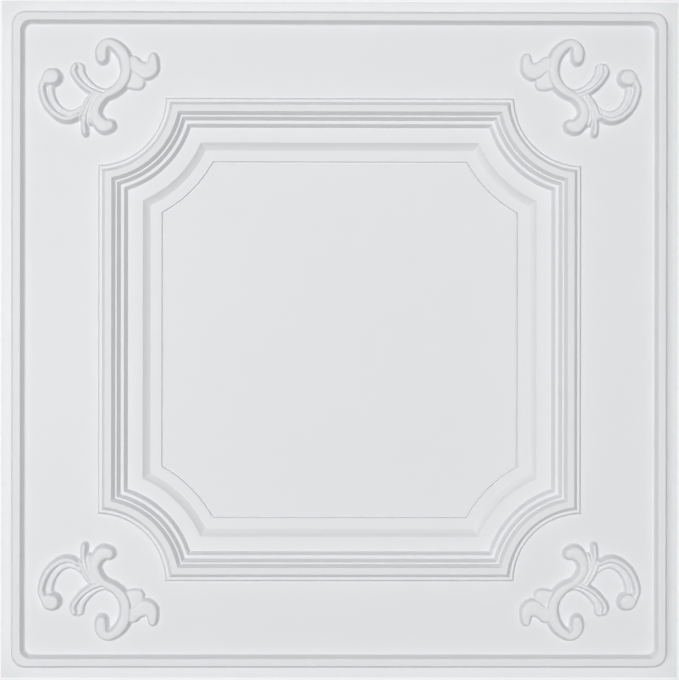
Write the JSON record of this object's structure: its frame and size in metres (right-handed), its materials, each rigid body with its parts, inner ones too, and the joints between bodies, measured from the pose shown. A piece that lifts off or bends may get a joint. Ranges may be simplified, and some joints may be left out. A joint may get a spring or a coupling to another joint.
{
  "type": "pvc drop ceiling tile",
  "caption": "Square white PVC lay-in ceiling tile, vacuum formed with a flange, a raised rim, a stepped frame with scooped corners and a scroll in each corner.",
  "frame": {"origin": "centre of the tile, in the plane of the flange's back", "axes": "+Z out of the room-side face, +X and +Y along the sides, with the picture's right as +X and its top as +Y"},
  "size_m": [0.603, 0.603, 0.0187],
  "materials": {
    "white_pvc": "satin"
  },
  "bodies": {
    "root": {"ceiling_tile": "white_pvc"}
  },
  "joints": []
}
